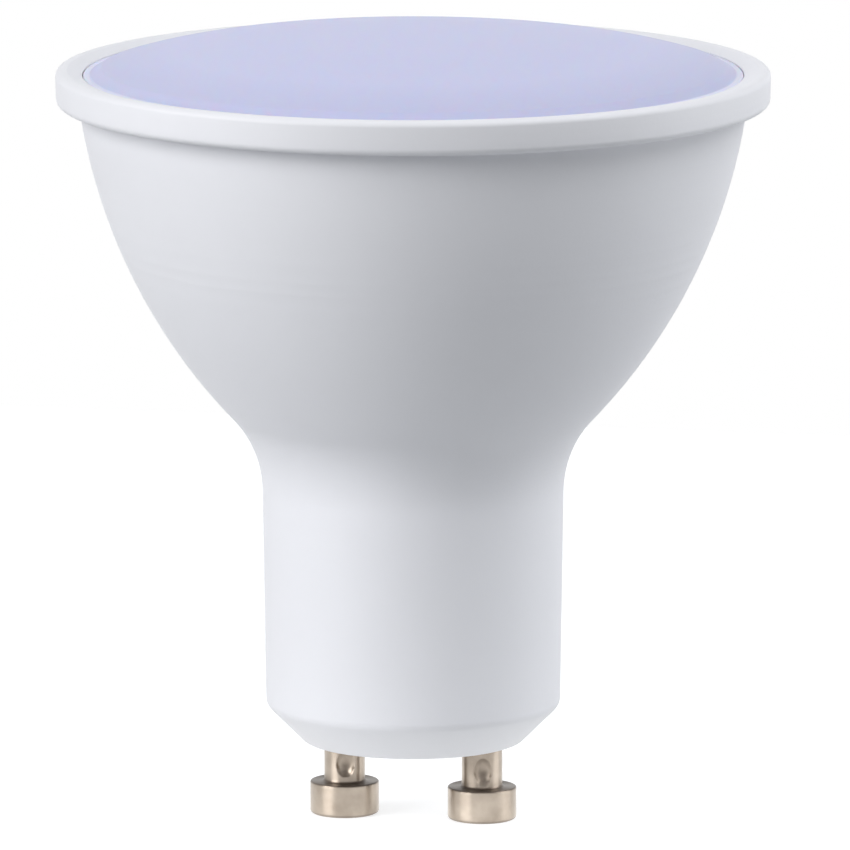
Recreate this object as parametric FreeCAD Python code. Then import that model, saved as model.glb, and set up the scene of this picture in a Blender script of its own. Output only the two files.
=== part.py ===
import FreeCAD, Part
import math
import os

# A mains spotlight lamp with a two-pin twist-lock base, in four separate pieces:
#   housing            white plastic moulding: base, neck, bowl and rim flange in one piece
#   diffuser           domed milky cover that snaps into the rim
#   contact_pin_left   turned pin with a disc head, a crimped stem and a pressed shank
#   contact_pin_right  the same pin on the other side
# The lamp is sealed and nothing shows its inside, so the housing stays solid there. What
# meets another piece is cut to its true form: the rim's seat, groove and chamber for the
# diffuser, and the two bores for the pins.
# Frame: the origin is midway between the two pin ends, +Z runs up the axis to the
# diffuser, and the pins stand side by side along X. Lengths are in millimetres.

Vector = FreeCAD.Vector

# Contact pins
pin_pitch = 10.0            # between the two pin axes, set by the base standard
pin_reach = 5.55            # how far a pin stands out of the base
head_radius = 2.45
head_height = 2.33
head_end_round = 0.25       # on the outer end's edge
head_top_bevel = 0.12       # on the edge that hooks behind the holder's slot
stem_radius = 1.45
stem_foot_bevel = 0.15      # where the stem meets the head
shank_inset = 0.4           # how far up the bore the pressed shank starts
shank_radius = 1.65
shank_length = 5.6
shank_lead = 0.3            # bevel at the shank's inner end
barb_count = 3
barb_spacing = 1.4
barb_depth = 0.12
barb_lead = 0.24            # height of a barb's slanted face
wire_bore_radius = 0.6
wire_bore_floor = 0.45      # metal between the wire bore and the top of the head

# The crimp: a dent punched in each side of the stem, to grip the wire inside
crimp_width = 1.55
crimp_length = 1.98
crimp_depth = 0.42
crimp_floor_width = 0.75
crimp_floor_length = 0.95
crimp_turn = 15.0           # degrees from the lamp's front towards +X
crimp_level_left = 3.75     # middle of the dent above the pin end
crimp_level_right = 3.6

# Housing, from the base up
base_radius = 7.77          # flat end face
base_edge_round = 0.7
base_bevel = 2.68           # 45 degree bevel between end face and neck
neck_edge_round = 1.0       # where the bevel meets the neck
neck_length = 15.3
neck_draft = 0.84           # degrees
waist_radius = 8.0          # hollow sweep from the neck into the bowl
bowl_radius = 40.7          # full curve of the bowl, seen in section
flare_height = 27.73        # from the neck's top to the flange
flange_radius = 25.25
flange_height = 2.43
flange_draft = 1.4          # degrees
flange_overhang = 1.6       # from the bowl's mouth to the flange's lower edge
rim_ring = 1.9              # width of the flange's front ring, round the diffuser
rim_land = 0.85             # its level outer part; from there it falls towards the diffuser
rim_fall = 0.3
flange_top_round = 0.45
flange_bottom_round = 0.5
flange_root_round = 0.35    # under the flange, where it meets the bowl

# Diffuser and its seat in the rim
dome_rise = 2.87            # of the crown above the ring's inner edge
dome_radius = 118.0         # flat middle of the dome, seen in section
shoulder_start = 16.2       # from the axis; the dome is rounder from here to its edge
shoulder_radius = 36.5
diffuser_edge_round = 0.4
diffuser_wall = 1.3
lip_depth = 1.0             # of the seat below the ring's inner edge
lip_width = 1.45            # from the diffuser's edge in to its skirt
skirt_wall = 1.2
skirt_depth = 3.4           # below the lip
skirt_lead = 0.3            # bevel round the skirt's lower edge
bead_count = 4
bead_span = 22.0            # degrees round the skirt
bead_level = 0.9            # middle of a bead above the skirt's lower edge
bead_height = 0.7
bead_reach = 0.3
chamber_gap = 0.6           # between the skirt's lower edge and the chamber's floor

# Clearances
press_clearance = 0.02      # pin shank in its bore
edge_clearance = 0.05       # diffuser edge in the rim
skirt_clearance = 0.1       # skirt and beads in the bore

# How far a drill or punch runs past the face that it starts from
cut_past = 1.0

# Levels and radii that follow from the sizes above
base_level = pin_reach
bevel_level = base_level + base_bevel
waist_level = bevel_level + neck_length
flange_level = waist_level + flare_height
rim_level = flange_level + flange_height
ring_level = rim_level - rim_fall
seat_level = ring_level - lip_depth
skirt_level = seat_level - skirt_depth
floor_level = skirt_level - chamber_gap
crown_level = ring_level + dome_rise
neck_radius = base_radius + base_bevel
waist_start_radius = neck_radius + neck_length * math.tan(math.radians(neck_draft))
flange_lower_radius = flange_radius - flange_height * math.tan(math.radians(flange_draft))
mouth_radius = flange_lower_radius - flange_overhang
seat_radius = flange_radius - rim_ring
diffuser_radius = seat_radius - edge_clearance
skirt_radius = diffuser_radius - lip_width
shank_level = base_level + shank_inset
shank_end_level = shank_level + shank_length
shoulder_slope = math.asin(shoulder_start / dome_radius)


def at(radius, level):
    """A point of an outline, in the half plane that is turned round the axis."""
    return Vector(radius, 0, level)


def line(start, end):
    return Part.LineSegment(start, end).toShape()


def arc(start, end, centre):
    """The shorter arc about a centre, from start to end."""
    outward = (start + end) * 0.5 - centre
    middle = centre + outward * ((start - centre).Length / outward.Length)
    return Part.Arc(start, middle, end).toShape()


def path(points, roundings={}):
    """Straight edges through the points. A rounding, given by a point's place in the list,
    replaces that corner by an arc that both sides run into smoothly."""
    edges = []
    reached = points[0]
    for place in range(1, len(points) - 1):
        corner = points[place]
        size = roundings.get(place)
        if not size:
            edges.append(line(reached, corner))
            reached = corner
            continue
        back = (points[place - 1] - corner).normalize()
        ahead = (points[place + 1] - corner).normalize()
        half_angle = back.getAngle(ahead) / 2
        trim = size / math.tan(half_angle)
        centre = corner + (back + ahead).normalize() * (size / math.sin(half_angle))
        start, end = corner + back * trim, corner + ahead * trim
        edges += [line(reached, start), arc(start, end, centre)]
        reached = end
    return edges + [line(reached, points[-1])]


def closed_path(points):
    return path(points + [points[0]])


def turned(edges):
    """The solid that a closed outline makes when it is turned round the axis."""
    return Part.Face(Part.Wire(edges)).revolve(Vector(0, 0, 0), Vector(0, 0, 1), 360)


def waist_centre():
    """Centre of the waist's arc, square to the neck's tapered side at its top."""
    draft = math.radians(neck_draft)
    start = at(waist_start_radius, waist_level)
    return start + Vector(math.cos(draft), 0, -math.sin(draft)) * waist_radius


def bowl_centre():
    """Centre of the bowl's arc, which leaves the waist smoothly and ends at the mouth."""
    waist = waist_centre()
    span = at(mouth_radius, flange_level) - waist
    reach = waist_radius + bowl_radius
    along = (reach ** 2 - bowl_radius ** 2 + span.Length ** 2) / (2 * span.Length)
    aside = math.sqrt(reach ** 2 - along ** 2)
    unit = span.normalize()
    return waist + unit * along + Vector(-unit.z, 0, unit.x) * aside


def bowl_side():
    """The hollow waist, the full bowl, and the small arc that turns under the flange."""
    waist, bowl = waist_centre(), bowl_centre()
    waist_start = at(waist_start_radius, waist_level)
    waist_end = waist + (bowl - waist).normalize() * waist_radius
    root_level = flange_level - flange_root_round
    root_reach = bowl_radius + flange_root_round
    root_radius = bowl.x + math.sqrt(root_reach ** 2 - (root_level - bowl.z) ** 2)
    root = at(root_radius, root_level)
    bowl_end = bowl + (root - bowl).normalize() * bowl_radius
    root_end = at(root_radius, flange_level)
    edges = [arc(waist_start, waist_end, waist), arc(waist_end, bowl_end, bowl)]
    return edges + [arc(bowl_end, root_end, root)], root_end


def housing_outline():
    """Half section of the moulding, from the base up the outside and down into the rim."""
    side, flange_start = bowl_side()
    bore_radius = skirt_radius + skirt_clearance
    groove_radius = bore_radius + bead_reach
    groove_half = bead_height / 2 + skirt_clearance
    groove_middle = skirt_level + bead_level
    base = path(
        [
            at(0, base_level),
            at(base_radius, base_level),
            at(neck_radius, bevel_level),
            at(waist_start_radius, waist_level),
        ],
        {1: base_edge_round, 2: neck_edge_round},
    )
    rim = path(
        [
            flange_start,
            at(flange_lower_radius, flange_level),
            at(flange_radius, rim_level),
            at(flange_radius - rim_land, rim_level),
            at(seat_radius, ring_level),
            at(seat_radius, seat_level),
            at(bore_radius, seat_level),
            at(bore_radius, groove_middle + groove_half + bead_reach),
            at(groove_radius, groove_middle + groove_half),
            at(groove_radius, groove_middle - groove_half),
            at(bore_radius, groove_middle - groove_half - bead_reach),
            at(bore_radius, floor_level),
            at(0, floor_level),
            at(0, base_level),
        ],
        {1: flange_bottom_round, 2: flange_top_round},
    )
    return base + side + rim


def pin_bore(side):
    radius = shank_radius + press_clearance
    start_level = base_level - cut_past
    start = Vector(side * pin_pitch / 2, 0, start_level)
    return Part.makeCylinder(radius, shank_end_level - start_level, start)


def make_housing():
    return turned(housing_outline()).cut(pin_bore(-1)).cut(pin_bore(1))


def dome_centre():
    return at(0, crown_level - dome_radius)


def shoulder_direction():
    """From the dome's centre to where its shoulder starts; both arcs run smoothly there."""
    return at(math.sin(shoulder_slope), math.cos(shoulder_slope))


def shoulder_centre():
    return dome_centre() + shoulder_direction() * (dome_radius - shoulder_radius)


def shoulder_point(radius, depth):
    """A point on the shoulder's arc, this far from the axis and this deep under the skin."""
    centre = shoulder_centre()
    skin = shoulder_radius - depth
    return at(radius, centre.z + math.sqrt(skin ** 2 - (radius - centre.x) ** 2))


def diffuser_bead(index):
    """One snap bead: a short length of ridge round the skirt."""
    middle = skirt_level + bead_level
    root = skirt_radius - skirt_wall / 2
    half = bead_height / 2
    ridge = Part.Face(Part.Wire(closed_path([
        at(root, middle - half),
        at(skirt_radius, middle - half),
        at(skirt_radius + bead_reach, middle - half + bead_reach),
        at(skirt_radius + bead_reach, middle + half - bead_reach),
        at(skirt_radius, middle + half),
        at(root, middle + half),
    ])))
    start = index * 360 / bead_count - bead_span / 2
    ridge.rotate(Vector(0, 0, 0), Vector(0, 0, 1), start)
    return ridge.revolve(Vector(0, 0, 0), Vector(0, 0, 1), bead_span)


def make_diffuser():
    """A dome of even wall, with a lip that sits in the rim and a skirt that snaps in."""
    middle, shoulder, out = dome_centre(), shoulder_centre(), shoulder_direction()
    edge = shoulder_point(diffuser_radius - diffuser_edge_round, diffuser_edge_round)
    crown, turn = at(0, crown_level), middle + out * dome_radius
    dome_end = shoulder + (edge - shoulder).normalize() * shoulder_radius
    side_start = at(diffuser_radius, edge.z)
    outside = [arc(crown, turn, middle), arc(turn, dome_end, shoulder), arc(dome_end, side_start, edge)]
    skirt_inner = skirt_radius - skirt_wall
    inner_edge = shoulder_point(skirt_inner, diffuser_wall)
    inner_turn = middle + out * (dome_radius - diffuser_wall)
    inner_crown = at(0, crown_level - diffuser_wall)
    under = path([
        side_start,
        at(diffuser_radius, seat_level),
        at(skirt_radius, seat_level),
        at(skirt_radius, skirt_level + skirt_lead),
        at(skirt_radius - skirt_lead, skirt_level),
        at(skirt_inner, skirt_level),
        inner_edge,
    ])
    inside = [arc(inner_edge, inner_turn, shoulder), arc(inner_turn, inner_crown, middle)]
    cover = turned(outside + under + inside + [line(inner_crown, crown)])
    beads = [diffuser_bead(index) for index in range(bead_count)]
    return cover.fuse(beads).removeSplitter()


def pin_outline():
    """Half section of a pin: head, stem, barbed shank and the wire bore down its middle."""
    points = [
        at(0, 0),
        at(head_radius, 0),
        at(head_radius, head_height - head_top_bevel),
        at(head_radius - head_top_bevel, head_height),
        at(stem_radius + stem_foot_bevel, head_height),
        at(stem_radius, head_height + stem_foot_bevel),
        at(stem_radius, shank_level),
        at(shank_radius, shank_level),
    ]
    for barb in range(barb_count):
        foot = shank_level + (barb + 1) * barb_spacing
        points += [at(shank_radius, foot), at(shank_radius - barb_depth, foot + barb_depth)]
        points += [at(shank_radius, foot + barb_depth + barb_lead)]
    points += [
        at(shank_radius, shank_end_level - shank_lead),
        at(shank_radius - shank_lead, shank_end_level),
        at(wire_bore_radius, shank_end_level),
        at(wire_bore_radius, head_height + wire_bore_floor),
        at(0, head_height + wire_bore_floor),
        at(0, 0),
    ]
    return path(points, {1: head_end_round})


def oval(width, length, depth):
    """An upright oval, square to -Y, whose middle is at this distance from the axis."""
    ellipse = Part.Ellipse(Vector(0, 0, 0), length / 2, width / 2)
    shape = Part.Wire([ellipse.toShape()])
    shape.rotate(Vector(0, 0, 0), Vector(0, 1, 0), -90)
    shape.rotate(Vector(0, 0, 0), Vector(0, 0, 1), -90)
    shape.translate(Vector(0, -depth, 0))
    return shape


def crimp_punch(level):
    """The punch that leaves one dent: it narrows from the stem's skin to the dent's floor."""
    flare = 1 + cut_past / crimp_depth
    mouth_width = crimp_floor_width + (crimp_width - crimp_floor_width) * flare
    mouth_length = crimp_floor_length + (crimp_length - crimp_floor_length) * flare
    floor = oval(crimp_floor_width, crimp_floor_length, stem_radius - crimp_depth)
    mouth = oval(mouth_width, mouth_length, stem_radius + cut_past)
    punch = Part.makeLoft([floor, mouth], True, True)
    punch.translate(Vector(0, 0, level))
    return punch


def make_pin(side, crimp_level):
    pin = turned(pin_outline())
    stem_foot = head_height + stem_foot_bevel
    stem_zone = Part.makeCylinder(head_radius, shank_level - stem_foot, Vector(0, 0, stem_foot))
    for turn in (crimp_turn, crimp_turn + 180):
        punch = crimp_punch(crimp_level)
        punch.rotate(Vector(0, 0, 0), Vector(0, 0, 1), turn)
        pin = pin.cut(punch.common(stem_zone))
    pin.translate(Vector(side * pin_pitch / 2, 0, 0))
    return pin


def main():
    pieces = {
        "housing": make_housing(),
        "diffuser": make_diffuser(),
        "contact_pin_left": make_pin(-1, crimp_level_left),
        "contact_pin_right": make_pin(1, crimp_level_right),
    }
    os.makedirs("parts", exist_ok=True)
    for name, shape in pieces.items():
        shape.exportStep("parts/" + name + ".step")
        box = shape.optimalBoundingBox(False)
        print(name, "solids", len(shape.Solids), "valid", shape.isValid(),
              "volume", round(shape.Volume, 1),
              "size", round(box.XLength, 2), round(box.YLength, 2), round(box.ZLength, 2))


main()
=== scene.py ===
# %% [markdown]
# A small spotlight lamp stands on its two contact pins: a white moulded housing, a milky
# domed cover and two plated pins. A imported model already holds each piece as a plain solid
# at its real size. This lesson makes each piece again as a fine mesh of the same size, gives
# it its finish, and lights it. Lengths are written in millimetres and turned into Blender's
# metres by one factor.

import math

import bpy
from mathutils import Matrix, Vector


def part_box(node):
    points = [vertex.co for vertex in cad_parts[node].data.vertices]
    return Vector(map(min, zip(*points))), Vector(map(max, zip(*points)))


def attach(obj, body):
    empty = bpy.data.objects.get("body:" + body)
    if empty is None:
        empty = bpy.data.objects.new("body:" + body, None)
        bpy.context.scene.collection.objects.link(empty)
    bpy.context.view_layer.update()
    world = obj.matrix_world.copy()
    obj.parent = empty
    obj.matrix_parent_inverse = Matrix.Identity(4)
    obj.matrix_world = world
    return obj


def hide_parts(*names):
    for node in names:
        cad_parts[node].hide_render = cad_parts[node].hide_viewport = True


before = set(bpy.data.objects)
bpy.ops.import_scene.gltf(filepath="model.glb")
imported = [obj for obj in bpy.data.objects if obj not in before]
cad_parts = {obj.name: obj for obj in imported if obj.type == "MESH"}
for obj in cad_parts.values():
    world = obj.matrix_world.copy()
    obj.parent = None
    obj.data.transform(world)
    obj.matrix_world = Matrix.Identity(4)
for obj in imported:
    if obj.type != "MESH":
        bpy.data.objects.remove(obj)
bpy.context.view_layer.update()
MM = 0.001
print("packed pieces:", ", ".join(sorted(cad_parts)))

# %% [markdown]
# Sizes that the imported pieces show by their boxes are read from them, so that the dressed
# pieces can't drift away from the solids. The box of a turned piece gives its largest
# radius and its lowest and highest level.

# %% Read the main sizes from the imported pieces
housing_low, housing_high = (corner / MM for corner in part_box("housing"))
cover_low, cover_high = (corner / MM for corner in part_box("diffuser"))
pin_low, pin_high = (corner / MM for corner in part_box("contact_pin_right"))

base_level, rim_level = housing_low.z, housing_high.z
cover_radius = (cover_high.x - cover_low.x) / 2
skirt_level, crown_level = cover_low.z, cover_high.z
pin_offset = (pin_low.x + pin_high.x) / 2
head_radius = (pin_high.x - pin_low.x) / 2
shank_end_level = pin_high.z
print("cover radius", round(cover_radius, 2), "head radius", round(head_radius, 2))
print("levels", [round(z, 2) for z in (base_level, skirt_level, rim_level, crown_level)])

# %% [markdown]
# Every piece of this lamp is a body of revolution, like work from a lathe. Its shape is a
# half outline: a chain of corners, each with a radius, a level and the size of the
# rounding that takes off its edge. Long straight sides get a few points of their own, one
# of them close to each rounding, so that smooth shading stays flat where the side is flat.

# %% Outlines as chains of corners
SIDE_SPACING = 0.8
SIDE_MARGIN = 0.1


def corner(radius, level, rounding=0.0):
    return (radius, level, rounding)


def arc_corners(centre, size, start_angle, end_angle, step):
    """Points of an arc, without its two ends; angles in degrees from the outward level line."""
    count = max(2, round(abs(end_angle - start_angle) / step))
    points = []
    for place in range(1, count):
        angle = math.radians(start_angle + (end_angle - start_angle) * place / count)
        points.append(corner(centre[0] + size * math.cos(angle), centre[1] + size * math.sin(angle)))
    return points


def with_side_points(corners, spacing=SIDE_SPACING):
    """The chain with extra points on its long straight sides, clear of the roundings."""
    full = [corners[0]]
    for here, there in zip(corners, corners[1:]):
        length = math.hypot(there[0] - here[0], there[1] - here[1])
        near, far = 2 * here[2] + SIDE_MARGIN, length - 2 * there[2] - SIDE_MARGIN
        if far > near:
            count = max(1, math.ceil((far - near) / spacing))
            for place in range(count + 1):
                share = (near + (far - near) * place / count) / length
                full.append(corner(here[0] + (there[0] - here[0]) * share,
                                   here[1] + (there[1] - here[1]) * share))
        full.append(there)
    return full


def outline_object(name, corners):
    """A chain of edges in the XZ plane, with each corner's rounding stored on its point."""
    mesh = bpy.data.meshes.new(name)
    points = [(radius * MM, 0, level * MM) for radius, level, _ in corners]
    mesh.from_pydata(points, [(i, i + 1) for i in range(len(points) - 1)], [])
    rounding = mesh.attributes.new("rounding", "FLOAT", "POINT")
    rounding.data.foreach_set("value", [size * MM for _, _, size in corners])
    piece = bpy.data.objects.new(name, mesh)
    bpy.context.scene.collection.objects.link(piece)
    return piece


# %% [markdown]
# Node trees are easier to read when each node is one short call. This small wrapper adds a
# node, sets its options, and joins or fills its inputs by name or number. A few steps that
# come back again and again get a name of their own.

# %% A short way to build node trees
def node(tree, kind, inputs=None, **options):
    """Adds a node. An input may be a value, or a socket of another node to link from."""
    made = tree.nodes.new(kind)
    for option, value in options.items():
        setattr(made, option, value)
    for key, value in (inputs or {}).items():
        if isinstance(value, bpy.types.NodeSocket):
            tree.links.new(value, made.inputs[key])
        else:
            made.inputs[key].default_value = value
    return made


def math_node(tree, operation, first, second=0.0, third=0.0):
    made = node(tree, "ShaderNodeMath", {0: first, 1: second, 2: third}, operation=operation)
    return made.outputs[0]


def vector_of(tree, x=0.0, y=0.0, z=0.0):
    return node(tree, "ShaderNodeCombineXYZ", {0: x, 1: y, 2: z}).outputs[0]


def parts_of(tree, vector):
    return node(tree, "ShaderNodeSeparateXYZ", {0: vector}).outputs


def turned(tree, vector, angle):
    """The vector, swung round the Z axis."""
    made = node(tree, "ShaderNodeVectorRotate", {"Vector": vector, "Angle": angle},
                rotation_type="Z_AXIS")
    return made.outputs[0]


def distance_out(tree, x, y):
    """How far a place lies from the Z axis."""
    made = node(tree, "ShaderNodeVectorMath", {0: vector_of(tree, x, y)}, operation="LENGTH")
    return made.outputs["Value"]


# %% [markdown]
# A geometry tree starts from its inputs and always ends the same way: instances are made
# real, and the result gets its material.

# %% Start and end of a geometry tree
def geometry_tree(name, sockets):
    """An empty geometry tree with a geometry input, the named inputs and a material input."""
    tree = bpy.data.node_groups.new(name, "GeometryNodeTree")
    tree.interface.new_socket("Geometry", in_out="INPUT", socket_type="NodeSocketGeometry")
    for label, kind in sockets.items():
        tree.interface.new_socket(label, in_out="INPUT", socket_type=kind)
    tree.interface.new_socket("Material", in_out="INPUT", socket_type="NodeSocketMaterial")
    tree.interface.new_socket("Geometry", in_out="OUTPUT", socket_type="NodeSocketGeometry")
    return tree, node(tree, "NodeGroupInput").outputs


def end_tree(tree, geometry, material):
    real = node(tree, "GeometryNodeRealizeInstances", {0: geometry}).outputs[0]
    painted = node(tree, "GeometryNodeSetMaterial", {"Geometry": real, "Material": material})
    node(tree, "NodeGroupOutput", {0: painted.outputs[0]})


# %% [markdown]
# The lathe itself is a Geometry Nodes tree. Fillet Curve rounds each corner by the size
# stored on it. A flat grid then gets one row for each point of the outline and one column
# for each step of the turn; every grid point looks up its outline point by number and is
# swung round the axis. Merging closes the seam and the two poles. A Screw modifier could
# turn an outline too, but it can't round each corner by its own size first.

# %% The lathe tree
SEAM_GAP = 0.001
FINE_TURN = {"Steps": 240, "Corner Steps": 7}


def lathe_tree():
    tree, given = geometry_tree("Lathe", {"Steps": "NodeSocketInt", "Corner Steps": "NodeSocketInt"})
    chain = node(tree, "GeometryNodeMeshToCurve", {"Mesh": given["Geometry"]}).outputs[0]
    size = node(tree, "GeometryNodeInputNamedAttribute", {"Name": "rounding"}, data_type="FLOAT")
    filleted = node(
        tree, "GeometryNodeFilletCurve",
        {"Curve": chain, "Radius": size.outputs[0], "Limit Radius": True,
         "Count": given["Corner Steps"]},
        mode="POLY")
    outline = node(tree, "GeometryNodeCurveToMesh", {"Curve": filleted.outputs[0]}).outputs[0]
    rows = node(tree, "GeometryNodeAttributeDomainSize", {0: outline}).outputs["Point Count"]
    columns = math_node(tree, "ADD", given["Steps"], 1.0)
    grid = node(tree, "GeometryNodeMeshGrid", {"Vertices X": rows, "Vertices Y": columns})
    index = node(tree, "GeometryNodeInputIndex").outputs[0]
    half_past = math_node(tree, "ADD", index, 0.5)
    row = math_node(tree, "FLOOR", math_node(tree, "DIVIDE", half_past, columns))
    column = math_node(tree, "FLOORED_MODULO", index, columns)
    position = node(tree, "GeometryNodeInputPosition").outputs[0]
    point = node(
        tree, "GeometryNodeSampleIndex",
        {"Geometry": outline, "Index": row}, data_type="FLOAT_VECTOR", domain="POINT")
    tree.links.new(position, point.inputs["Value"])
    share = math_node(tree, "DIVIDE", column, given["Steps"])
    swung = turned(tree, point.outputs[0], math_node(tree, "MULTIPLY", share, math.tau))
    placed = node(tree, "GeometryNodeSetPosition", {"Geometry": grid.outputs[0], "Position": swung})
    outward = node(tree, "GeometryNodeFlipFaces", {0: placed.outputs[0]})
    closed = node(
        tree, "GeometryNodeMergeByDistance",
        {"Geometry": outward.outputs[0], "Distance": SEAM_GAP * MM})
    smooth = node(tree, "GeometryNodeSetShadeSmooth", {"Geometry": closed.outputs[0]})
    end_tree(tree, smooth.outputs[0], given["Material"])
    return tree


LATHE = lathe_tree()
print("lathe tree:", len(LATHE.nodes), "nodes")

# %% [markdown]
# A tree runs as a modifier. Its inputs are set by each socket's identifier, before the
# object is evaluated for the first time. The result is copied out as a plain mesh and the
# modifier goes, because what is handed on should be ordinary geometry. Sharp edges are
# marked last, wherever two faces meet at a clear angle.

# %% Run trees and keep a plain mesh
SHARP_ANGLE = math.radians(32)


def add_tree(piece, tree, values):
    modifier = piece.modifiers.new(tree.name, "NODES")
    modifier.node_group = tree
    for socket in tree.interface.items_tree:
        if socket.in_out == "INPUT" and socket.name in values:
            modifier[socket.identifier] = values[socket.name]


def enclosed_volume(mesh):
    """Each triangle and the origin span a tetrahedron. Turned outward, they add up to the whole."""
    mesh.calc_loop_triangles()
    volume = 0.0
    for triangle in mesh.loop_triangles:
        a, b, c = (mesh.vertices[i].co for i in triangle.vertices)
        volume += a.dot(b.cross(c)) / 6
    return volume


def made_plain(piece, steps):
    """Runs the trees in turn, then leaves only the mesh that they made."""
    for tree, values in steps:
        add_tree(piece, tree, values)
    graph = bpy.context.evaluated_depsgraph_get()
    mesh = bpy.data.meshes.new_from_object(piece.evaluated_get(graph))
    piece.modifiers.clear()
    piece.data = mesh
    mesh.set_sharp_from_angle(angle=SHARP_ANGLE)
    volume = enclosed_volume(mesh) / MM ** 3
    print(piece.name, "faces", len(mesh.polygons), "volume", round(volume, 1), "mm3")
    assert volume > 0, piece.name + " is inside out"
    return piece


# %% [markdown]
# Two effects serve more than one material, so each is a shader node group. Grain is the
# fine, even roughness that a moulding takes from its spark-eroded tool, or a plating from
# its bath, and a slow drift of tone. Rings are the fine lines that a cutting tool leaves.
# A picture of such a surface could be laid on instead. Noise was chosen because it is set in
# bumps for each millimetre, which fits every piece, and it has no seam.

# %% Shader groups for grain and rings
def shader_group(name, inputs, outputs):
    group = bpy.data.node_groups.new(name, "ShaderNodeTree")
    for label, kind in inputs.items():
        group.interface.new_socket(label, in_out="INPUT", socket_type=kind)
    for label in outputs:
        group.interface.new_socket(label, in_out="OUTPUT", socket_type="NodeSocketFloat")
    return group, node(group, "NodeGroupInput").outputs


def grain_group():
    """Height: fine bumps. Tone: slow cloudy drift, both from 0 to 1."""
    group, given = shader_group(
        "Grain", {"Place": "NodeSocketVector", "Bumps per mm": "NodeSocketFloat",
                  "Clouds per mm": "NodeSocketFloat"}, ["Height", "Tone"])
    fine = math_node(group, "MULTIPLY", given["Bumps per mm"], 1 / MM)
    slow = math_node(group, "MULTIPLY", given["Clouds per mm"], 1 / MM)
    bumps = node(group, "ShaderNodeTexNoise",
                 {"Vector": given["Place"], "Scale": fine, "Detail": 2.0, "Roughness": 0.6})
    clouds = node(group, "ShaderNodeTexNoise",
                  {"Vector": given["Place"], "Scale": slow, "Detail": 3.0, "Roughness": 0.5})
    node(group, "NodeGroupOutput", {"Height": bumps.outputs[0], "Tone": clouds.outputs[0]})
    return group


def rings_group():
    """Lines of uneven depth across a distance, as a cutting tool leaves them."""
    group, given = shader_group(
        "Rings", {"Distance": "NodeSocketFloat", "Lines per mm": "NodeSocketFloat"}, ["Height"])
    fine = math_node(group, "MULTIPLY", given["Lines per mm"], 1 / MM)
    along = math_node(group, "MULTIPLY", given["Distance"], fine)
    lines = node(group, "ShaderNodeTexNoise",
                 {"W": along, "Scale": 1.0, "Detail": 3.0, "Roughness": 0.7},
                 noise_dimensions="1D")
    node(group, "NodeGroupOutput", {"Height": lines.outputs[0]})
    return group


GRAIN = grain_group()
RINGS = rings_group()
print("shader groups:", GRAIN.name, RINGS.name)

# %% [markdown]
# A material starts with a Principled shader, the place of each point on its object, and a
# bump that takes a height. What is the same all over the surface is set on the shader's
# own sockets; only what varies comes from the groups. Noise keeps near its middle, so the
# middle part of a tone is stretched before it blends two colours.

# %% A short way to make a material
TONE_LOW, TONE_HIGH = 0.3, 0.7


def new_material(name, constants):
    material = bpy.data.materials.new(name)
    material.use_nodes = True
    tree = material.node_tree
    shader = tree.nodes["Principled BSDF"]
    for label, value in constants.items():
        shader.inputs[label].default_value = value
    place = node(tree, "ShaderNodeTexCoord").outputs["Object"]
    return material, tree, shader, place


def grain_of(tree, place, bumps_per_mm, clouds_per_mm):
    made = node(tree, "ShaderNodeGroup",
                {"Place": place, "Bumps per mm": bumps_per_mm, "Clouds per mm": clouds_per_mm},
                node_tree=GRAIN)
    return made.outputs["Height"], made.outputs["Tone"]


def ranged(tree, value, low, high, start=0.0, end=1.0):
    """The value stretched from one range to another, and held at its ends."""
    return node(tree, "ShaderNodeMapRange",
                {"Value": value, "From Min": start, "From Max": end,
                 "To Min": low, "To Max": high}).outputs[0]


def stretched(tree, tone):
    return ranged(tree, tone, 0, 1, TONE_LOW, TONE_HIGH)


def blend_colours(tree, share, first, second):
    """Each colour is three numbers, or a socket of another node."""
    first, second = (colour if isinstance(colour, bpy.types.NodeSocket) else (*colour, 1)
                     for colour in (first, second))
    return node(tree, "ShaderNodeMix", {0: share, 6: first, 7: second}, data_type="RGBA").outputs[2]


def add_bump(tree, shader, height, depth):
    """Turns a height from 0 to 1 into relief of this depth, in millimetres."""
    bump = node(tree, "ShaderNodeBump", {"Height": height, "Strength": 1.0, "Distance": depth * MM})
    tree.links.new(bump.outputs[0], shader.inputs["Normal"])


# %% [markdown]
# White housing plastic. Such mouldings have a satin face: the tool is spark-eroded, which
# leaves bumps of a few tenths of a millimetre across and a few microns deep. Four faint
# rings run round the bowl where the tool was polished. They are as high as the grain, so
# they are made as bump too, and not in the mesh.

# %% White housing plastic
WHITE_LIGHT = (0.799, 0.806, 0.846)
WHITE_SHADE = (0.772, 0.779, 0.820)
WHITE_ROUGHNESS, WHITE_RELIEF = (0.46, 0.60), 0.006
WITNESS_LEVELS = (39.4, 40.6, 41.55, 42.8)
WITNESS_WIDTH, WITNESS_SHARE = 0.28, 1.5


def witness_height(tree, level):
    """Sum of narrow rings, each a bell curve about its own level."""
    total = 0.0
    for ring in WITNESS_LEVELS:
        off = math_node(tree, "SUBTRACT", level, ring * MM)
        scaled = math_node(tree, "DIVIDE", off, WITNESS_WIDTH * MM)
        squared = math_node(tree, "MULTIPLY", scaled, scaled)
        bell = math_node(tree, "POWER", math.e, math_node(tree, "MULTIPLY", squared, -1.0))
        total = math_node(tree, "ADD", total, bell)
    return total


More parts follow.
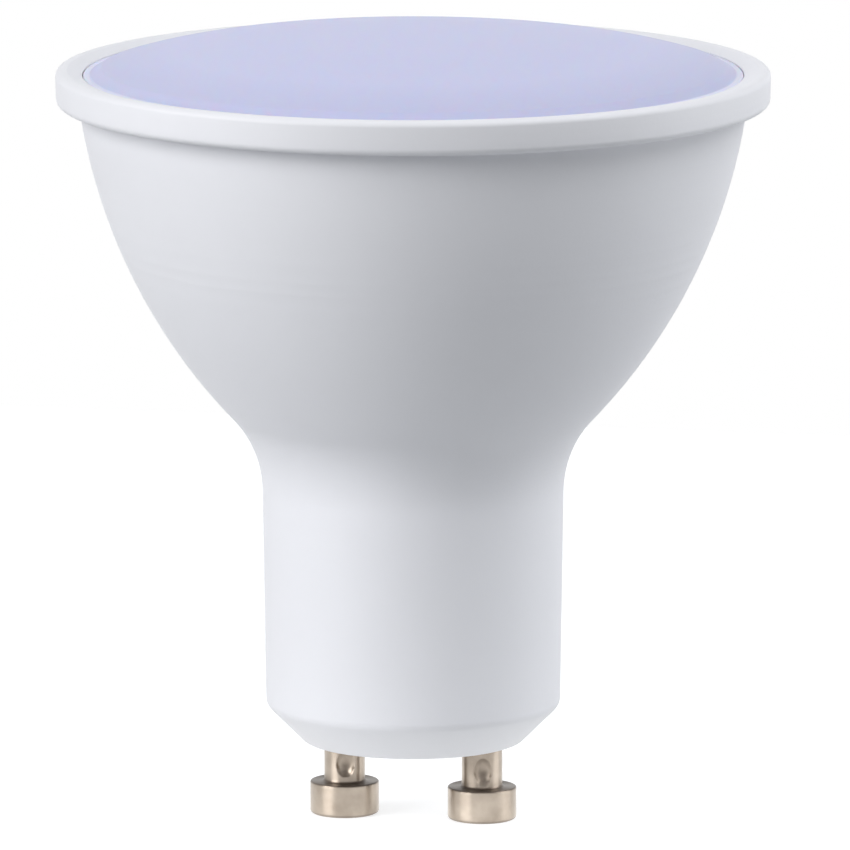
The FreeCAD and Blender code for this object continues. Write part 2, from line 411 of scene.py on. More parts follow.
def housing_plastic():
    material, tree, shader, place = new_material(
        "housing_plastic", {"IOR": 1.49, "Specular IOR Level": 0.45})
    height, tone = grain_of(tree, place, bumps_per_mm=3.2, clouds_per_mm=0.045)
    colour = blend_colours(tree, stretched(tree, tone), WHITE_SHADE, WHITE_LIGHT)
    tree.links.new(colour, shader.inputs["Base Color"])
    tree.links.new(ranged(tree, height, *WHITE_ROUGHNESS), shader.inputs["Roughness"])
    level = parts_of(tree, place)[2]
    rings = math_node(tree, "MULTIPLY", witness_height(tree, level), WITNESS_SHARE)
    add_bump(tree, shader, math_node(tree, "ADD", height, rings), WHITE_RELIEF)
    return material


HOUSING_PLASTIC = housing_plastic()
print("made", HOUSING_PLASTIC.name)

# %% [markdown]
# Milky cover plastic. The cover is moulded from a diffusing grade with a smooth face. It
# lets light in and scatters it, so it gets some scattering under its skin. Unlit, it looks
# lavender. Towards the rim, where the skirt stands under it, less light comes back; this
# is painted into the colour as painted shade, a little darker. Its thin edge is painted
# paler, a painted highlight. Both depend only on the distance from the axis, so the colour
# is worked out from that.

# %% Milky cover plastic
COVER_LIGHT = (0.550, 0.567, 0.785)
COVER_SHADE = (0.530, 0.547, 0.765)
# Painted highlight: the paler colour laid on the cover's thin edge.
COVER_EDGE_HIGHLIGHT = (0.70, 0.71, 0.87)
COVER_ROUGHNESS, COVER_RELIEF, SCATTER_DEPTH = (0.46, 0.54), 0.002, 0.9
# Painted shade: the colour grows darker from 17 mm out towards the rim.
RIM_SHADE_START, RIM_SHADE_SHARE = 17.0, 0.92
rim_shade_end = cover_radius - 0.6
edge_highlight_start, edge_highlight_end = cover_radius - 0.55, cover_radius - 0.4


def milky_cover():
    material, tree, shader, place = new_material(
        "milky_cover", {"IOR": 1.49, "Specular IOR Level": 0.2, "Subsurface Weight": 0.5,
                        "Subsurface Scale": SCATTER_DEPTH * MM})
    height, tone = grain_of(tree, place, bumps_per_mm=1.6, clouds_per_mm=0.04)
    skin = blend_colours(tree, stretched(tree, tone), COVER_SHADE, COVER_LIGHT)
    parts = parts_of(tree, place)
    out = distance_out(tree, parts[0], parts[1])
    # Painted shade: the cover's colour is darkened towards the rim.
    rim_shade = ranged(tree, out, 1.0, RIM_SHADE_SHARE, RIM_SHADE_START * MM, rim_shade_end * MM)
    rim_shaded = node(tree, "ShaderNodeVectorMath", {0: skin, "Scale": rim_shade}, operation="SCALE")
    # Painted highlight: the outermost lip is painted paler.
    edge = ranged(tree, out, 0, 1, edge_highlight_start * MM, edge_highlight_end * MM)
    colour = blend_colours(tree, edge, rim_shaded.outputs[0], COVER_EDGE_HIGHLIGHT)
    tree.links.new(colour, shader.inputs["Base Color"])
    tree.links.new(ranged(tree, tone, *COVER_ROUGHNESS), shader.inputs["Roughness"])
    add_bump(tree, shader, height, COVER_RELIEF)
    return material


MILKY_COVER = milky_cover()
print("made", MILKY_COVER.name)

# %% [markdown]
# Plated pins. Turned brass under nickel keeps the tool's fine rings, on the sides as lines
# at one level and on the end faces as circles, so the ring distance is the level plus the
# distance from the pin's own axis. Rings too fine to see still spread the light across
# themselves, which draws a lamp's reflection out into a tall streak on a round side. The
# Anisotropic setting does that along a tangent, which here runs round the pin.
#
# Both pins share one material, because taking the size of X first folds the left pin's
# place onto the right one's. The sign of X unfolds it again for the tangent. Painted shade
# darkens the colour on the head's top, where the stem meets it, and in the deepest part of
# the dent.

# %% Plated pins
PLATE_LIGHT = (0.45, 0.388, 0.327)
PLATE_SHADE = (0.33, 0.280, 0.232)
# Painted shade: a dark colour laid into the head's top corner round the stem and into the dent's floor.
PLATE_PAINTED_SHADE = (0.13, 0.105, 0.085)
PLATE_ROUGHNESS, PLATE_RELIEF, LINES_PER_MM = (0.40, 0.33), 0.0022, 14.0
head_height = 2.33
# Where the painted shade lies, and how far it reaches.
painted_shade_level = head_height + 0.03
SHADE_CORE, SHADE_REACH = 0.048, 0.16
DENT_SHADE_FULL, DENT_SHADE_NONE = 0.9, 1.15


def painted_shade_share(tree, level, out):
    """Painted shade: 1 in the head's top corner and in the dent's floor, 0 on unshaded plating."""
    above = math_node(tree, "SUBTRACT", level, painted_shade_level * MM)
    corner_shade = ranged(tree, math_node(tree, "ABSOLUTE", above), 1, 0, SHADE_CORE * MM, SHADE_REACH * MM)
    on_stem = math_node(tree, "GREATER_THAN", level, painted_shade_level * MM)
    dent_shade = ranged(tree, out, 1, 0, DENT_SHADE_FULL * MM, DENT_SHADE_NONE * MM)
    return math_node(tree, "MAXIMUM", corner_shade, math_node(tree, "MULTIPLY", on_stem, dent_shade))


def plated_metal():
    material, tree, shader, place = new_material(
        "plated_pin", {"Metallic": 1.0, "Anisotropic": 0.85, "Anisotropic Rotation": 0.25})
    x, y, level = parts_of(tree, place)
    folded = math_node(tree, "SUBTRACT", math_node(tree, "ABSOLUTE", x), pin_offset * MM)
    out = distance_out(tree, folded, y)
    rings = node(tree, "ShaderNodeGroup",
                 {"Distance": math_node(tree, "ADD", out, level), "Lines per mm": LINES_PER_MM},
                 node_tree=RINGS)
    height, tone = grain_of(tree, place, bumps_per_mm=5.0, clouds_per_mm=0.55)
    clouds = stretched(tree, tone)
    unshaded = blend_colours(tree, clouds, PLATE_SHADE, PLATE_LIGHT)
    # Painted shade laid into the colour at the head's top corner and the dent's floor.
    colour = blend_colours(tree, painted_shade_share(tree, level, out), unshaded, PLATE_PAINTED_SHADE)
    tree.links.new(colour, shader.inputs["Base Color"])
    tree.links.new(ranged(tree, clouds, *PLATE_ROUGHNESS), shader.inputs["Roughness"])
    add_bump(tree, shader, math_node(tree, "ADD", rings.outputs["Height"], height), PLATE_RELIEF)
    unfolded = math_node(tree, "MULTIPLY", folded, math_node(tree, "SIGN", x))
    round_the_pin = vector_of(tree, math_node(tree, "MULTIPLY", y, -1.0), unfolded)
    tree.links.new(round_the_pin, shader.inputs["Tangent"])
    return material


PLATED_METAL = plated_metal()
print("made", PLATED_METAL.name)

# %% [markdown]
# The housing. In section it is a short 45 degree bevel, a slightly tapered neck, a hollow
# waist and a full bowl, under a flange. The inside is a stepped seat for the cover. What
# ends in edge is the size of a rounding, and the two steps are the degrees between the
# points of an arc.

# %% Sizes of the housing
base_radius, base_bevel, base_edge = 7.77, 2.68, 0.7
neck_length, neck_draft, neck_edge = 15.3, math.radians(0.84), 1.0
waist_size, bowl_size, mouth_edge = 8.0, 40.7, 0.35
waist_step, bowl_step = 2.5, 1.3
flange_radius, flange_height, flange_draft = 25.25, 2.43, math.radians(1.4)
flange_overhang, flange_lower_edge, flange_upper_edge = 1.6, 0.5, 0.45
rim_ring, rim_land, rim_fall = 1.9, 0.85, 0.3
land_edge, ring_edge = 0.2, 0.06
lip_depth, lip_width = 1.0, 1.45
skirt_clearance, bead_reach, bead_height, bead_level = 0.1, 0.3, 0.7, 0.9
chamber_gap = 0.6

bevel_level = base_level + base_bevel
waist_level = bevel_level + neck_length
flange_level = rim_level - flange_height
neck_radius = base_radius + base_bevel
waist_radius = neck_radius + neck_length * math.tan(neck_draft)
flange_lower_radius = flange_radius - flange_height * math.tan(flange_draft)
mouth_radius = flange_lower_radius - flange_overhang
seat_radius = flange_radius - rim_ring
ring_level = rim_level - rim_fall
seat_level = ring_level - lip_depth
skirt_radius = cover_radius - lip_width
bore_radius = skirt_radius + skirt_clearance
groove_middle = skirt_level + bead_level
groove_half = bead_height / 2 + skirt_clearance
print("bowl's mouth", round(mouth_radius, 2), "cover's bore", round(bore_radius, 2))

# %% [markdown]
# The waist's arc starts square to the neck, and the bowl's arc is the one that touches it
# and ends at the flange. Two circles that touch have their centres one sum of radii apart,
# which fixes the bowl's centre. The arcs could be drawn by eye as a free curve, but then
# the change from hollow to full would show a kink or a flat in the reflections.


# %% Build the housing's outline
def touching_circles():
    """Centres of the waist's and the bowl's arcs."""
    waist = Vector((waist_radius + waist_size * math.cos(neck_draft),
                    waist_level - waist_size * math.sin(neck_draft)))
    span = Vector((mouth_radius, flange_level)) - waist
    reach = waist_size + bowl_size
    along = (reach ** 2 - bowl_size ** 2 + span.length ** 2) / (2 * span.length)
    aside = math.sqrt(reach ** 2 - along ** 2)
    unit = span.normalized()
    return waist, waist + unit * along + Vector((-unit.y, unit.x)) * aside


def bearing(centre, point):
    return math.degrees(math.atan2(point[1] - centre[1], point[0] - centre[0]))


def housing_outside():
    """From the middle of the base, up the neck and the bowl, to the flange's upper edge."""
    waist, bowl = touching_circles()
    touch = waist + (bowl - waist).normalized() * waist_size
    waist_from = 180 - math.degrees(neck_draft)
    waist_to = bearing(waist, touch) % 360
    bowl_from, bowl_to = bearing(bowl, touch), bearing(bowl, (mouth_radius, flange_level))
    chain = [corner(0, base_level), corner(base_radius, base_level, base_edge)]
    chain += [corner(neck_radius, bevel_level, neck_edge), corner(waist_radius, waist_level)]
    chain += arc_corners(waist, waist_size, waist_from, waist_to, waist_step)
    chain += [corner(*touch)]
    chain += arc_corners(bowl, bowl_size, bowl_from, bowl_to, bowl_step)
    chain += [corner(mouth_radius, flange_level, mouth_edge)]
    chain += [corner(flange_lower_radius, flange_level, flange_lower_edge)]
    return chain + [corner(flange_radius, rim_level, flange_upper_edge)]


def housing_inside():
    """From the rim's level land, down over the seat, through the bore and its groove."""
    groove_radius = bore_radius + bead_reach
    groove_top, groove_bottom = groove_middle + groove_half, groove_middle - groove_half
    floor_level = skirt_level - chamber_gap
    chain = [corner(flange_radius - rim_land, rim_level, land_edge)]
    chain += [corner(seat_radius, ring_level, ring_edge), corner(seat_radius, seat_level)]
    chain += [corner(bore_radius, seat_level), corner(bore_radius, groove_top + bead_reach)]
    chain += [corner(groove_radius, groove_top), corner(groove_radius, groove_bottom)]
    chain += [corner(bore_radius, groove_bottom - bead_reach)]
    return chain + [corner(bore_radius, floor_level), corner(0, floor_level)]


housing_outline = with_side_points(housing_outside() + housing_inside())
print("corners in the housing's outline:", len(housing_outline))

# %% [markdown]
# The two pin bores are the only thing in the housing that isn't turned. Two cylinders,
# placed on a short line of points, are cut from it.

# %% Tree that cuts the pin bores
BORE_SIDES = 96


def bores_tree():
    tree, given = geometry_tree(
        "Pin bores", {"Radius": "NodeSocketFloat", "Bottom": "NodeSocketFloat",
                      "Top": "NodeSocketFloat", "Offset": "NodeSocketFloat"})
    depth = math_node(tree, "SUBTRACT", given["Top"], given["Bottom"])
    middle = math_node(tree, "MULTIPLY", math_node(tree, "ADD", given["Top"], given["Bottom"]), 0.5)
    drill = node(tree, "GeometryNodeMeshCylinder",
                 {"Vertices": BORE_SIDES, "Radius": given["Radius"], "Depth": depth})
    left = vector_of(tree, math_node(tree, "MULTIPLY", given["Offset"], -1.0), z=middle)
    step = vector_of(tree, math_node(tree, "MULTIPLY", given["Offset"], 2.0))
    places = node(tree, "GeometryNodeMeshLine", {"Count": 2, "Start Location": left, "Offset": step})
    drills = node(tree, "GeometryNodeInstanceOnPoints",
                  {"Points": places.outputs[0], "Instance": drill.outputs[0]})
    tool = node(tree, "GeometryNodeRealizeInstances", {0: drills.outputs[0]})
    cut = node(tree, "GeometryNodeMeshBoolean", operation="DIFFERENCE", solver="EXACT")
    tree.links.new(given["Geometry"], cut.inputs[0])
    tree.links.new(tool.outputs[0], cut.inputs[1])
    end_tree(tree, cut.outputs[0], given["Material"])
    return tree


# %% Make the housing
BORE_RADIUS, DRILL_OVERRUN = 1.67, 1.0
housing = made_plain(
    outline_object("lamp_housing", housing_outline),
    [(LATHE, {**FINE_TURN, "Material": HOUSING_PLASTIC}),
     (bores_tree(), {"Radius": BORE_RADIUS * MM, "Bottom": (base_level - DRILL_OVERRUN) * MM,
                     "Top": shank_end_level * MM, "Offset": pin_offset * MM,
                     "Material": HOUSING_PLASTIC})])

# %% [markdown]
# The cover is a shell of even wall: a shallow dome that grows rounder towards its edge, a
# lip under it, and a skirt that goes down into the rim. The dome's two arcs share one
# tangent where they meet, so the centre of the tighter one lies on the line from the wider
# one's centre to that point. Just inside the ring the dome ends in a steeper foot and a
# narrow level lip, which shows as a pale line between the lavender and the white; the
# cover's colour adds a painted highlight on that lip.

# %% Sizes of the cover
cover_wall, skirt_wall, skirt_lead = 1.3, 1.2, 0.3
dome_size, shoulder_size, shoulder_start = 118.0, 36.5, 16.2
dome_step, shoulder_step = 0.5, 1.2
dome_foot, foot_edge = 22.0, 0.8
lip_inner, lip_drop = 22.85, 0.05
lip_lower_edge, lip_outer_edge, lip_inner_edge = 0.05, 0.12, 0.15

lip_level = ring_level - lip_drop
dome_centre = Vector((0, crown_level - dome_size))
shoulder_slope = math.asin(shoulder_start / dome_size)
outward = Vector((math.sin(shoulder_slope), math.cos(shoulder_slope)))
shoulder_centre = dome_centre + outward * (dome_size - shoulder_size)
print("slope where the dome's arcs meet", round(math.degrees(shoulder_slope), 1), "degrees")


# %% Build the cover's outline
def shoulder_level(radius, size):
    """Height of an arc about the shoulder's centre, this far from the lamp's axis."""
    return shoulder_centre.y + math.sqrt(size ** 2 - (radius - shoulder_centre.x) ** 2)


def dome_arcs(radius, depth):
    """Both arcs, this deep under the skin, from this far out up to the axis."""
    size = shoulder_size - depth
    level = shoulder_level(radius, size)
    turn = dome_centre + outward * (dome_size - depth)
    start_angle = bearing(shoulder_centre, (radius, level))
    turn_angle = 90 - math.degrees(shoulder_slope)
    chain = arc_corners(shoulder_centre, size, start_angle, turn_angle, shoulder_step)
    chain += [corner(*turn)]
    chain += arc_corners(dome_centre, dome_size - depth, turn_angle, 90, dome_step)
    return level, chain + [corner(0, crown_level - depth)]


def cover_corners():
    skirt_inner = skirt_radius - skirt_wall
    inner_level, inside = dome_arcs(skirt_inner, cover_wall)
    foot_level, outside = dome_arcs(dome_foot, 0)
    chain = inside[::-1] + [corner(skirt_inner, inner_level), corner(skirt_inner, skirt_level)]
    chain += [corner(skirt_radius - skirt_lead, skirt_level)]
    chain += [corner(skirt_radius, skirt_level + skirt_lead), corner(skirt_radius, seat_level)]
    chain += [corner(cover_radius, seat_level, lip_lower_edge)]
    chain += [corner(cover_radius, lip_level, lip_outer_edge)]
    chain += [corner(lip_inner, lip_level, lip_inner_edge), corner(dome_foot, foot_level, foot_edge)]
    return with_side_points(chain + outside)


print("corners in the cover's outline:", len(cover_corners()))

# %% [markdown]
# Four short ridges on the skirt snap into the groove in the rim. One ridge is swept along
# an arc, set four times round the axis, and joined to the skirt. Its section is a flattened
# hexagon. One of radius 1 is 1.73 high, and the share brings that to the height asked for.

# %% Tree that adds the snap beads
BEAD_STEPS, SECTION_SIDES, SECTION_SHARE = 17, 6, 0.58


def beads_tree():
    tree, given = geometry_tree(
        "Snap beads", {"Count": "NodeSocketInt", "Radius": "NodeSocketFloat",
                       "Reach": "NodeSocketFloat", "Height": "NodeSocketFloat",
                       "Level": "NodeSocketFloat", "Span": "NodeSocketFloat"})
    route = node(tree, "GeometryNodeCurveArc",
                 {"Resolution": BEAD_STEPS, "Radius": given["Radius"], "Sweep Angle": given["Span"]},
                 mode="RADIUS")
    section = node(tree, "GeometryNodeCurvePrimitiveCircle",
                   {"Resolution": SECTION_SIDES, "Radius": 1.0})
    half_height = math_node(tree, "MULTIPLY", given["Height"], SECTION_SHARE)
    shaped = node(tree, "GeometryNodeTransform",
                  {"Geometry": section.outputs[0],
                   "Scale": vector_of(tree, given["Reach"], half_height, 1.0)})
    ridge = node(tree, "GeometryNodeCurveToMesh",
                 {"Curve": route.outputs[0], "Profile Curve": shaped.outputs[0], "Fill Caps": True})
    half_back = math_node(tree, "MULTIPLY", given["Span"], -0.5)
    raised = node(tree, "GeometryNodeTransform",
                  {"Geometry": ridge.outputs[0], "Translation": vector_of(tree, z=given["Level"]),
                   "Rotation": vector_of(tree, z=half_back)})
    points = node(tree, "GeometryNodePoints", {"Count": given["Count"]})
    index = node(tree, "GeometryNodeInputIndex").outputs[0]
    share = math_node(tree, "DIVIDE", index, given["Count"])
    turn = vector_of(tree, z=math_node(tree, "MULTIPLY", share, math.tau))
    around = node(tree, "GeometryNodeInstanceOnPoints",
                  {"Points": points.outputs[0], "Instance": raised.outputs[0], "Rotation": turn})
    beads = node(tree, "GeometryNodeRealizeInstances", {0: around.outputs[0]})
    joined = node(tree, "GeometryNodeMeshBoolean", operation="UNION", solver="EXACT")
    tree.links.new(beads.outputs[0], joined.inputs[1])
    tree.links.new(given["Geometry"], joined.inputs[1])
    end_tree(tree, joined.outputs[0], given["Material"])
    return tree


# %% Make the cover
BEAD_COUNT, BEAD_SPAN = 4, math.radians(22)
cover = made_plain(
    outline_object("milky_dome", cover_corners()),
    [(LATHE, {**FINE_TURN, "Material": MILKY_COVER}),
     (beads_tree(), {"Count": BEAD_COUNT, "Radius": skirt_radius * MM, "Reach": bead_reach * MM,
                     "Height": bead_height * MM, "Level": groove_middle * MM, "Span": BEAD_SPAN,
                     "Material": MILKY_COVER})])

# %% [markdown]
# A pin is a disc head, a stem and a shank that is pressed into the base. Its stem is dented
# from two sides, where the maker crimps it on the lead wire. The dent could be cut with a
# punch-shaped body, but pressed metal keeps its skin, so the skin's own points are moved.
# The rule: near the dent, no point may stay further from the axis than the punch's face.
# That is level across its middle, lies deeper at its lower end, and curves outwards to the
# dent's oval edge, where its depth is nothing.

# %% Where a point lies in the dent, and how deep the punch goes there
FLOOR_LEAN, FLOOR_CURVE = 0.5, 0.4


def place_in_dent(tree, given, across, level):
    """Height from -1 to 1, and distance from the middle, which is 1 on the oval edge."""
    wide = math_node(tree, "DIVIDE", across, math_node(tree, "MULTIPLY", given["Width"], 0.5))
    above = math_node(tree, "SUBTRACT", level, given["Level"])
    tall = math_node(tree, "DIVIDE", above, math_node(tree, "MULTIPLY", given["Length"], 0.5))
    squares = math_node(tree, "ADD", math_node(tree, "MULTIPLY", wide, wide),
                        math_node(tree, "MULTIPLY", tall, tall))
    return tall, math_node(tree, "SQRT", squares)


def punch_depth(tree, given, tall, oval):
    past_floor = math_node(tree, "MAXIMUM", math_node(tree, "SUBTRACT", oval, given["Floor Share"]), 0.0)
    rise = math_node(tree, "DIVIDE", past_floor, math_node(tree, "SUBTRACT", 1.0, given["Floor Share"]))
    lean = math_node(tree, "MULTIPLY_ADD", tall, FLOOR_CURVE, -FLOOR_LEAN)
    leaning = math_node(tree, "MULTIPLY_ADD", tall, lean, 1.0)
    deepest = math_node(tree, "MULTIPLY", given["Depth"], leaning)
    curved = math_node(tree, "MULTIPLY", rise, rise)
    return math_node(tree, "MULTIPLY", deepest, math_node(tree, "SUBTRACT", 1.0, curved))


# %% [markdown]
# Only points on the stem's side and near the dent are moved. The stem is turned so that
# the dent faces along Y, the points are pressed in, and the stem is turned back.

# %% Tree that punches the crimp
FACE_BLEND = 0.06
STEM_TOLERANCE, DENT_REACH = 0.04, 1.3


def crimp_tree():
    tree, given = geometry_tree(
        "Crimp", {"Level": "NodeSocketFloat", "Width": "NodeSocketFloat",
                  "Length": "NodeSocketFloat", "Depth": "NodeSocketFloat",
                  "Floor Share": "NodeSocketFloat", "Stem Radius": "NodeSocketFloat",
                  "Turn": "NodeSocketFloat"})
    position = node(tree, "GeometryNodeInputPosition").outputs[0]
    back_turn = math_node(tree, "MULTIPLY", given["Turn"], -1.0)
    x, y, z = parts_of(tree, turned(tree, position, back_turn))
    tall, oval = place_in_dent(tree, given, x, z)
    depth = punch_depth(tree, given, tall, oval)
    face = math_node(tree, "SUBTRACT", given["Stem Radius"], depth)
    kept = math_node(tree, "SMOOTH_MIN", math_node(tree, "ABSOLUTE", y), face, FACE_BLEND * MM)
    pressed = math_node(tree, "MULTIPLY", kept, math_node(tree, "SIGN", y))
    moved = turned(tree, vector_of(tree, x, pressed, z), given["Turn"])
    share = math_node(tree, "DIVIDE", distance_out(tree, x, y), given["Stem Radius"])
    on_stem = math_node(tree, "COMPARE", share, 1.0, STEM_TOLERANCE)
    chosen = math_node(tree, "MULTIPLY", on_stem, math_node(tree, "LESS_THAN", oval, DENT_REACH))
    punched = node(tree, "GeometryNodeSetPosition",
                   {"Geometry": given["Geometry"], "Selection": chosen, "Position": moved})
    end_tree(tree, punched.outputs[0], given["Material"])
    return tree


CRIMP = crimp_tree()
print("crimp tree:", len(CRIMP.nodes), "nodes")

# %% [markdown]
# The stem needs closely spaced rows, because the dent moves its points one by one. The
# shank above it hides in the base, so its rows can be far apart. Three barbs hold it there.

# %% Build the pin's outline
stem_radius, shank_radius, shank_inset, shank_chamfer = 1.45, 1.65, 0.4, 0.3
head_lower_edge, head_upper_edge, stem_edge = 0.25, 0.12, 0.18
wire_bore_radius, wire_bore_floor = 0.6, 0.45
BARBS, BARB_SPACING, BARB_DEPTH = 3, 1.4, 0.12
STEM_SPACING = 0.055
shank_level = base_level + shank_inset


def shank_corners():
    """From the stem's end up over the barbs, and down into the bore for the wire."""
    chain = [corner(stem_radius, shank_level), corner(shank_radius, shank_level)]
    for barb in range(BARBS):
        foot = shank_level + (barb + 1) * BARB_SPACING
        chain += [corner(shank_radius, foot), corner(shank_radius - BARB_DEPTH, foot + BARB_DEPTH)]
        chain += [corner(shank_radius, foot + 3 * BARB_DEPTH)]
    chain += [corner(shank_radius, shank_end_level - shank_chamfer)]
    chain += [corner(shank_radius - shank_chamfer, shank_end_level)]
    bore_floor = head_height + wire_bore_floor
    chain += [corner(wire_bore_radius, shank_end_level), corner(wire_bore_radius, bore_floor)]
    return chain + [corner(0, bore_floor)]


def pin_corners():
    stem_foot = corner(stem_radius, head_height, stem_edge)
    head = with_side_points([
        corner(0, 0), corner(head_radius, 0, head_lower_edge),
        corner(head_radius, head_height, head_upper_edge), stem_foot])
    stem = with_side_points([stem_foot, corner(stem_radius, shank_level)], STEM_SPACING)
    return head[:-1] + stem[:-1] + shank_corners()


print("corners in a pin's outline:", len(pin_corners()))

# %% [markdown]
# Both pins come from one outline and one punch. The real ones were crimped at slightly
# different levels, which the photograph shows.

# %% Make both pins
CRIMP_TURN = math.radians(15)
CRIMP_SIZES = {"Width": 1.55 * MM, "Length": 1.98 * MM, "Depth": 0.40 * MM, "Floor Share": 0.25,
               "Stem Radius": stem_radius * MM, "Turn": CRIMP_TURN, "Material": PLATED_METAL}
pins = []
for name, node_name, side, crimp_level in (
        ("left_pin", "contact_pin_left", -1, 3.75), ("right_pin", "contact_pin_right", 1, 3.6)):
    pin = made_plain(
        outline_object(name, pin_corners()),
        [(LATHE, {"Steps": 160, "Corner Steps": 5, "Material": PLATED_METAL}),
         (CRIMP, {**CRIMP_SIZES, "Level": crimp_level * MM})])
    pin.data.transform(Matrix.Translation((side * pin_offset * MM, 0, 0)))
    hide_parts(node_name)
    pins.append(pin)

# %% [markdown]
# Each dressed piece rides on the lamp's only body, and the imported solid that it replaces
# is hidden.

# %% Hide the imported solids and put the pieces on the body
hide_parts("housing")
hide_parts("diffuser")
for piece, slot_name in [(housing, "housing_plastic"), (cover, "milky_cover"),
                         (pins[0], "plated_pin"), (pins[1], "plated_pin")]:
    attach(piece, "root")

# %% [markdown]
# The camera stands low and far off with a long lens, so the lamp looks almost without
# perspective. Its distance is in metres, from a point on the lamp's axis half way up. The
# lamp sits a little left of the middle of the picture, so camera and aim both move right.

# %% Camera
CAMERA_TURN, CAMERA_RISE = math.radians(12.0), math.radians(9.9)
CAMERA_DISTANCE = 0.9
AIM_LEVEL = 28.19
PICTURE_WIDTH = 850
PIXELS_PER_MM = 14.11
AXIS_COLUMN = 413.2
SENSOR = 36.0

to_camera = Vector((math.sin(CAMERA_TURN) * math.cos(CAMERA_RISE),
                    -math.cos(CAMERA_TURN) * math.cos(CAMERA_RISE), math.sin(CAMERA_RISE)))
to_right = Vector((math.cos(CAMERA_TURN), math.sin(CAMERA_TURN), 0))
shift = (PICTURE_WIDTH / 2 - AXIS_COLUMN) / PIXELS_PER_MM * MM
aim = Vector((0, 0, AIM_LEVEL * MM)) + to_right * shift

lens_data = bpy.data.cameras.new("Camera")
lens_data.sensor_width = SENSOR
lens_data.lens = SENSOR * PIXELS_PER_MM * CAMERA_DISTANCE / MM / PICTURE_WIDTH
lens_data.clip_start, lens_data.clip_end = 0.05, 20
camera = bpy.data.objects.new("Camera", lens_data)
camera.location = aim + to_camera * CAMERA_DISTANCE
camera.rotation_euler = (-to_camera).to_track_quat("-Z", "Y").to_euler()
bpy.context.scene.collection.objects.link(camera)
bpy.context.scene.camera = camera
print("lens", round(lens_data.lens, 1), "mm")

# %% [markdown]
# Soft studio light. Each panel is two thirds as wide as it is far away, so its shadows have
# no hard edge. A panel is placed by its turn from the camera to the right and its rise, both
# in degrees, and by its distance in metres.

# %% A soft light and a panel
PANEL_WIDTH_SHARE = 2 / 3
WHITE, COOL, WARM = (1.0, 1.0, 1.0), (0.98, 0.99, 1.0), (1.0, 0.985, 0.93)


def soft_light(name, shape, size, watts, colour):
    data = bpy.data.lights.new(name, "AREA")
    data.shape, data.size = shape, size
    data.energy, data.color = watts, colour
    light = bpy.data.objects.new(name, data)
    bpy.context.scene.collection.objects.link(light)
    return light


def panel(name, turn, rise, distance, watts, colour):
    """A square panel that faces the lamp."""
    turn, rise = math.radians(turn), math.radians(rise)
    light = soft_light(name, "SQUARE", distance * PANEL_WIDTH_SHARE, watts, colour)
    forward = Vector((to_camera.x, to_camera.y, 0)).normalized()
    level = (to_right * math.sin(turn) + forward * math.cos(turn)) * math.cos(rise)
    target = Vector((0, 0, AIM_LEVEL * MM))
    light.location = target + (level + Vector((0, 0, math.sin(rise)))) * distance
    light.rotation_euler = (target - light.location).to_track_quat("-Z", "Y").to_euler()
    return light


# %% [markdown]
# A large panel on the left is the main light. On the right, one panel stands low and
# brightens the edge, and one hangs high. A wide, far one in front fills in. A weak one
# behind keeps the back from going dark. It is kept out of reflections, because the cover
# would mirror it towards the camera.

# %% Panels round the lamp
panel("key_left", turn=-60, rise=25, distance=0.6, watts=3.45, colour=WHITE)
panel("low_right", turn=90, rise=5, distance=0.6, watts=1.0, colour=COOL)
panel("high_right", turn=90, rise=45, distance=0.6, watts=2.3, colour=COOL)
panel("front", turn=0, rise=45, distance=1.25, watts=3.0, colour=COOL)
back = panel("back", turn=180, rise=8, distance=0.9, watts=2.0, colour=COOL)
back.visible_glossy = False

# %% [markdown]
# A little glowing disc just over the table, round the foot, lights the bevel and the lower
# neck, which would lie in the lamp's own shadow. It faces up and is hidden from the camera.
# A disc that shines evenly gives pi times its radiance for each unit of area.

# %% Glow round the foot
GLOW_RADIUS, GLOW_LEVEL, GLOW_RADIANCE = 20.0, 0.2, 0.44
glow_area = math.pi * (GLOW_RADIUS * MM) ** 2
glow_watts = math.pi * GLOW_RADIANCE * glow_area
foot_glow = soft_light("foot_glow", "DISK", 2 * GLOW_RADIUS * MM, glow_watts, WARM)
foot_glow.location.z = GLOW_LEVEL * MM
foot_glow.rotation_euler.x = math.pi
foot_glow.visible_camera = False
print("foot glow", round(glow_watts, 5), "W")

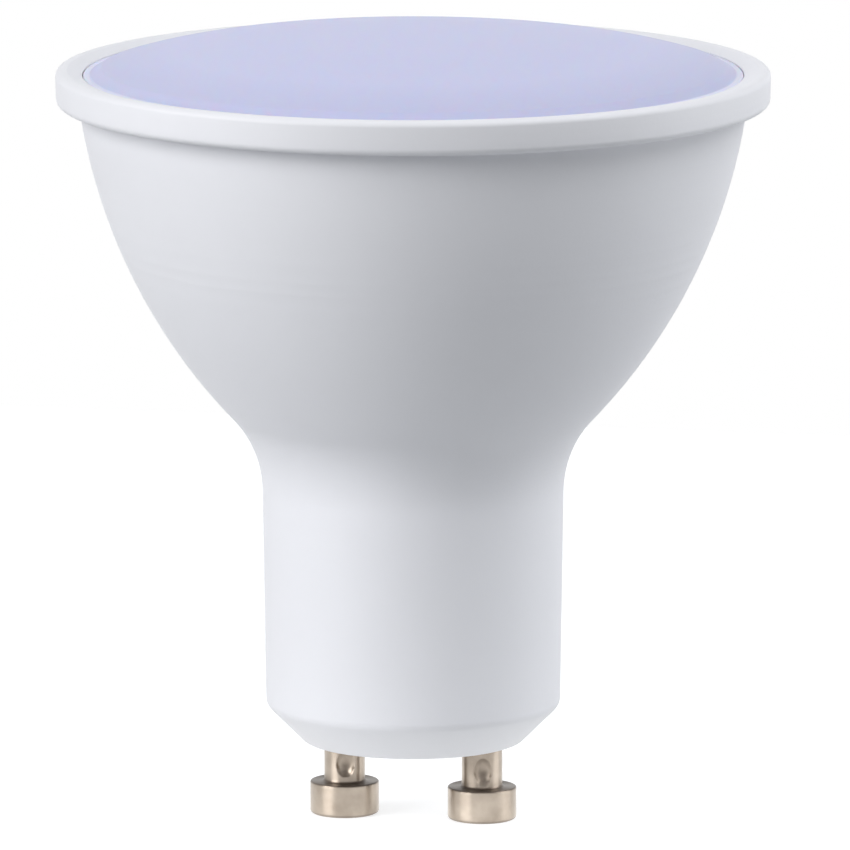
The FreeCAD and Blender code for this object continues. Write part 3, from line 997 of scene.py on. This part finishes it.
# %% [markdown]
# The lamp stands on a small pale table: light that comes back from it fills the underside
# of the bowl. It lies a hair below the pin ends, because two faces in one plane flicker.
# The background is white for the camera and for mirror rays only, so that the metal shows
# it too, and it gives no light of its own. The table glows for the same rays, by so much
# that it comes out white where lamps reach it and a little grey in the shadow.

# %% Pale table
SEEN_RAYS = ["Is Camera Ray", "Is Glossy Ray", "Is Transmission Ray"]
TABLE_REACH, TABLE_DROP = 160.0, 0.02
TABLE_COLOUR, TABLE_GLOW = (0.44, 0.45, 0.46), 0.7


def seen_strength(tree, strength):
    """A strength that only camera, mirror and see-through rays find."""
    rays = node(tree, "ShaderNodeLightPath").outputs
    seen = 0.0
    for kind in SEEN_RAYS:
        seen = math_node(tree, "MAXIMUM", seen, rays[kind])
    return math_node(tree, "MULTIPLY", seen, strength)


def table_material():
    material, tree, shader, _ = new_material(
        "pale_table", {"Roughness": 0.9, "Base Color": (*TABLE_COLOUR, 1),
                       "Emission Color": (1, 1, 1, 1)})
    tree.links.new(seen_strength(tree, TABLE_GLOW), shader.inputs["Emission Strength"])
    return material


table_corners = [(x * TABLE_REACH * MM, y * TABLE_REACH * MM, -TABLE_DROP * MM)
                 for x, y in ((-1, -1), (1, -1), (1, 1), (-1, 1))]
table_mesh = bpy.data.meshes.new("table")
table_mesh.from_pydata(table_corners, [], [(0, 1, 2, 3)])
table_mesh.materials.append(table_material())
table = bpy.data.objects.new("table", table_mesh)
bpy.context.scene.collection.objects.link(table)
print("table", [round(side / MM) for side in table.dimensions], "mm")

# %% White surroundings
world = bpy.data.worlds.new("World")
bpy.context.scene.world = world
world.use_nodes = True
sky = world.node_tree
sky.nodes.clear()
dark = node(sky, "ShaderNodeBackground", {"Strength": 0.0})
white = node(sky, "ShaderNodeBackground", {"Color": (1, 1, 1, 1), "Strength": 1.0})
mixed = node(sky, "ShaderNodeMixShader",
             {0: seen_strength(sky, 1.0), 1: dark.outputs[0], 2: white.outputs[0]})
node(sky, "ShaderNodeOutputWorld", {0: mixed.outputs[0]})

bpy.context.scene.view_settings.view_transform = "Standard"
print("colours shown by the", bpy.context.scene.view_settings.view_transform, "transform")
